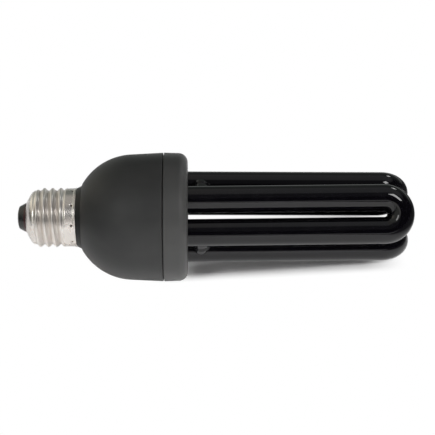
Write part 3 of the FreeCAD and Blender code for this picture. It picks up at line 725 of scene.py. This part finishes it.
def dress_inner_nodes():
    """Give every CAD node that stays inside the lamp its own finish."""
    steel = soft_metal("tinned_steel", (0.66, 0.65, 0.62), (0.46, 0.45, 0.43), 0.22, 0.8)
    ferrite = inner_finish("grey_ferrite", (0.075, 0.073, 0.072), (0.035, 0.034, 0.036), 0.55, 0.7)
    resin = inner_finish("black_case_resin", (0.030, 0.030, 0.031), (0.015, 0.015, 0.016), 0.5, 0.8)
    film = inner_finish("green_film_dip", (0.050, 0.13, 0.045), (0.026, 0.075, 0.028), 0.3, 0.5)
    coat = inner_finish("tan_resistor_coat", (0.52, 0.36, 0.19), (0.38, 0.25, 0.13), 0.38, 1.0)
    cement = inner_finish("white_cement", (0.78, 0.76, 0.71), (0.58, 0.56, 0.52), 0.9, 0.9)
    sleeve = inner_finish("shrunk_can_sleeve", (0.045, 0.05, 0.075), (0.022, 0.025, 0.04), 0.34, 0.4)
    nylon = inner_finish("bobbin_nylon", (0.66, 0.62, 0.52), (0.52, 0.48, 0.40), 0.5, 0.6)
    red_jacket = inner_finish("red_wire_jacket", (0.36, 0.04, 0.03), (0.24, 0.025, 0.02), 0.42, 0.5)
    blue_jacket = inner_finish("blue_wire_jacket", (0.04, 0.07, 0.30), (0.025, 0.045, 0.20), 0.42, 0.5)
    finishes = {
        "tube_cement": cement,
        "circuit_board": board_laminate(),
        "smoothing_capacitor": sleeve,
        "choke_core": ferrite,
        "choke_bobbin": nylon,
        "choke_winding": wound_wire(),
        "drive_toroid": ferrite,
        "transistors": resin,
        "resonant_capacitor": film,
        "blocking_capacitor": film,
        "rectifier_diodes": resin,
        "fuse_resistor": coat,
        "base_resistors": coat,
        "wrap_pins": steel,
        "electrode_leads": steel,
        "live_wire": red_jacket,
        "neutral_wire": blue_jacket,
    }
    for node, material in finishes.items():
        slots = frame["nodes"][node].data.materials
        if not slots:
            slots.append(material)
        for place in range(len(slots)):
            slots[place] = material


# The lamp's outside

def dress_outside():
    """Build the six outside pieces in place of their CAD nodes."""
    metal = plated_shell_metal()
    plastic = moulded_plastic()
    solder = soft_metal("soldered_contact", (0.60, 0.59, 0.56), (0.40, 0.39, 0.37), 0.32, 0.9)
    cover = drilled(cover_mesh(), leg_hole_cutter(), crease_deg=35)
    add_piece("contact_button", contact_mesh(), solder, "centre_contact")
    add_piece("cap_nose", insulator_mesh(), cap_nose_glass(), "cap_insulator")
    add_piece("screw_shell_metal", screw_shell_mesh(), metal, "screw_shell")
    add_piece("ballast_dome", housing_mesh(), plastic, "ballast_housing")
    add_piece("cover_ring", cover, plastic, "tube_cover")
    add_piece("black_glass_tubes", discharge_tube_mesh(), black_glass(), "discharge_tube")


# Stage, light and camera, in metres and degrees

TABLE_HALF = 4.0
TABLE_SHADE = 3.3
TABLE_SHADE_BEYOND_SHEET = 0.3
# Painted shade: the colour the camera sees on the table inside the lamp's shadow zone, lower than other
# rays see
TABLE_SHADE_PAINTED_IN_SHADOW = 2.0
WHITE = (1, 1, 1)
LAMP_AIM = (0.02, 0, 0.025)
LAMP_DISTANCE = 0.9
CAMERA_ELEVATION_DEG = 28.670
CAMERA_AZIMUTH_DEG = 2.209
CAMERA_ROLL_DEG = -6.842
CAMERA_DISTANCE = 0.533104
CAMERA_AIM_STATION = 88.638
CAMERA_CLIP = (0.01, 50)
SENSOR_WIDTH = 36
IMAGE_PIXELS = 435
FOCAL_PIXELS = 1190.866
LIFT_PIXELS = -0.732


def lay_floor():
    """Pale table: white to the camera outside the lamp's shadow, and a pale sheet to other rays.

    Polished surfaces mirror the sheet up to its right and front edges, and a dim table beyond them. In the
    shadow's zone the camera sees the table at a lower colour than other rays do: painted shade.
    """
    mesh = bpy.data.meshes.new("table")
    corners = [(-TABLE_HALF, -TABLE_HALF, 0), (TABLE_HALF, -TABLE_HALF, 0),
               (TABLE_HALF, TABLE_HALF, 0), (-TABLE_HALF, TABLE_HALF, 0)]
    mesh.from_pydata(corners, [], [(0, 1, 2, 3)])
    table = in_scene("table", mesh)
    material = bpy.data.materials.new("pale_table")
    start = empty_tree(material)
    seen = start.node("ShaderNodeLightPath", output="Is Camera Ray")
    mirrored = start.math("MAXIMUM", seen.sibling("Is Glossy Ray"), seen.sibling("Is Transmission Ray"))
    place = start.node("ShaderNodeTexCoord", output="Object")
    right = start.node("ShaderNodeSeparateXYZ", None, {0: place}, "X")
    back = right.sibling("Y")
    sheet = (1 - right.between(0.085, 0.13)) * back.between(-1.6, -0.5)
    shade = TABLE_SHADE + mirrored * (1 - sheet) * (TABLE_SHADE_BEYOND_SHEET - TABLE_SHADE)
    # Painted shade: camera rays see the table darker here, so the shadow zone looks darker than its light
    # makes it
    shade = shade + seen * (TABLE_SHADE_PAINTED_IN_SHADOW - TABLE_SHADE)
    shadow = right.between(-0.035, -0.010) * (1 - right.between(0.062, 0.084))
    shadow = shadow * (back + right * 0.09).between(-0.012, -0.004) * (1 - back.between(0.025, 0.050))
    matt = start.node("ShaderNodeBsdfDiffuse", None, {"Color": shade})
    white = start.node("ShaderNodeEmission", None, {"Color": (*WHITE, 1), "Strength": 1.0})
    mixed = start.node("ShaderNodeMixShader", None, {0: seen * (1 - shadow), 1: matt, 2: white})
    start.node("ShaderNodeOutputMaterial", None, {"Surface": mixed}, None)
    mesh.materials.append(material)


def matt_glow(right, up, front):
    """Light on matt surfaces: a weak even glow, and a low strip in front that is dim on the left."""
    strip = right.between(-0.5, 0.1).blend((2.3, 2.28, 2.26), (11.5, 11.3, 11.2))
    strip = right.between(0.6, 0.95).blend(strip, (9.2, 9.1, 9.0))
    low = 1 - up.between(0.03, 0.15)
    return (low * front).blend((0.05, 0.05, 0.05), strip)


def mirrored_room(right, back, up, front):
    """What polished surfaces mirror: a dim room with a grey ceiling, paler walls and a bright low front."""
    room = up.between(0.53, 0.67).blend((0.022, 0.021, 0.022), (0.085, 0.085, 0.092))
    ceiling_light = right.between(0.04, 0.2).blend((0.38, 0.365, 0.345), (0.335, 0.34, 0.35))
    ceiling = back.between(-0.41, -0.21) * up.between(0.55, 0.75)
    room = ceiling.blend(room, ceiling_light)
    rear_wall = back.between(0.1, 0.6) * up.between(-0.1, 0.4) * (1 - up.between(0.7, 0.9))
    room = rear_wall.blend(room, (0.15, 0.165, 0.155))
    horizon = back.between(0.3, 0.7) * (1 - up.between(0.1, 0.3))
    room = horizon.blend(room, (0.55, 0.58, 0.56))
    far_left = back.between(-0.4, 0.1) * (1 - right.between(-0.72, -0.5))
    left_light = far_left.blend((0.46, 0.47, 0.43), (0.95, 0.90, 0.78))
    left_wall = (1 - right.between(-0.3, -0.08)) * right.between(-1.0, -0.8) * up.between(0.0, 0.3)
    room = left_wall.blend(room, left_light)
    table_edge = front * (1 - up.between(0.04, 0.14)) * (1 - right.between(0.25, 0.55))
    room = table_edge.blend(room, (0.95, 0.95, 0.95))
    left_front = (1 - (up + right * 2.5).between(0.05, 0.28)) * right.between(-0.4, -0.2) * front
    return left_front.blend(room, (0.85, 0.83, 0.82))


def light_room():
    """World: white to the camera, a room to glossy rays, and a soft glow to all others."""
    world = bpy.data.worlds.new("soft_room")
    bpy.context.scene.world = world
    start = empty_tree(world)
    way = start.node("ShaderNodeTexCoord", output="Generated")
    right = start.node("ShaderNodeSeparateXYZ", None, {0: way}, "X")
    back = right.sibling("Y")
    up = right.sibling("Z")
    front = (right * 0.5 - back * 0.87).between(0.0, 0.5)
    glossy = start.node("ShaderNodeLightPath", output="Is Glossy Ray")
    light = glossy.blend(matt_glow(right, up, front), mirrored_room(right, back, up, front))
    colour = glossy.sibling("Is Camera Ray").blend(light, WHITE)
    shade = start.node("ShaderNodeBackground", None, {"Color": colour, "Strength": 1.0})
    start.node("ShaderNodeOutputWorld", None, {"Surface": shade}, None)


def way_to(azimuth_deg, elevation_deg):
    """Unit direction away from the object: azimuth goes from the front to the right, elevation up."""
    azimuth, elevation = math.radians(azimuth_deg), math.radians(elevation_deg)
    return np.array((math.sin(azimuth) * math.cos(elevation), -math.cos(azimuth) * math.cos(elevation),
                     math.sin(elevation)))


def hang_lamp(name, azimuth_deg, elevation_deg, size, radiance):
    """Rectangular soft lamp aimed at the object: its power is radiance times pi times its area."""
    light = bpy.data.lights.new(name, "AREA")
    light.shape = "RECTANGLE"
    light.size, light.size_y = size
    light.energy = radiance * math.pi * size[0] * size[1]
    way = Vector(way_to(azimuth_deg, elevation_deg))
    lamp = in_scene(name, light)
    lamp.location = Vector(LAMP_AIM) + way * LAMP_DISTANCE
    lamp.rotation_euler = way.to_track_quat("Z", "Y").to_euler()


def set_camera():
    """Camera at the photograph's place: elevation, azimuth and roll about a point on the lamp's axis."""
    azimuth, roll = math.radians(CAMERA_AZIMUTH_DEG), math.radians(CAMERA_ROLL_DEG)
    backward = way_to(CAMERA_AZIMUTH_DEG, CAMERA_ELEVATION_DEG)
    right = np.array((math.cos(azimuth), math.sin(azimuth), 0))
    up = np.cross(backward, right)
    rolled_right = math.cos(roll) * right + math.sin(roll) * up
    rolled_up = math.cos(roll) * up - math.sin(roll) * right
    target = in_row_frame(np.array((CAMERA_AIM_STATION, 0, 0)))
    matrix = np.eye(4)
    matrix[:3, :3] = np.stack((rolled_right, rolled_up, backward), 1)
    matrix[:3, 3] = target + CAMERA_DISTANCE * backward
    data = bpy.data.cameras.new("photo_camera")
    data.sensor_width = SENSOR_WIDTH
    data.lens = FOCAL_PIXELS / IMAGE_PIXELS * SENSOR_WIDTH
    data.shift_y = LIFT_PIXELS / IMAGE_PIXELS
    data.clip_start, data.clip_end = CAMERA_CLIP
    camera = in_scene("photo_camera", data)
    camera.matrix_world = Matrix(matrix.tolist())
    bpy.context.scene.camera = camera


dress_inner_nodes()
dress_outside()
lay_floor()
light_room()
hang_lamp("front_right_lamp", 44, 44, (0.21, 0.26), 8)
hang_lamp("front_left_lamp", -27, 45, (0.16, 0.30), 4.5)
hang_lamp("rear_right_lamp", 133, 40, (0.14, 0.14), 6)
set_camera()
bpy.context.scene.view_settings.view_transform = "Standard"
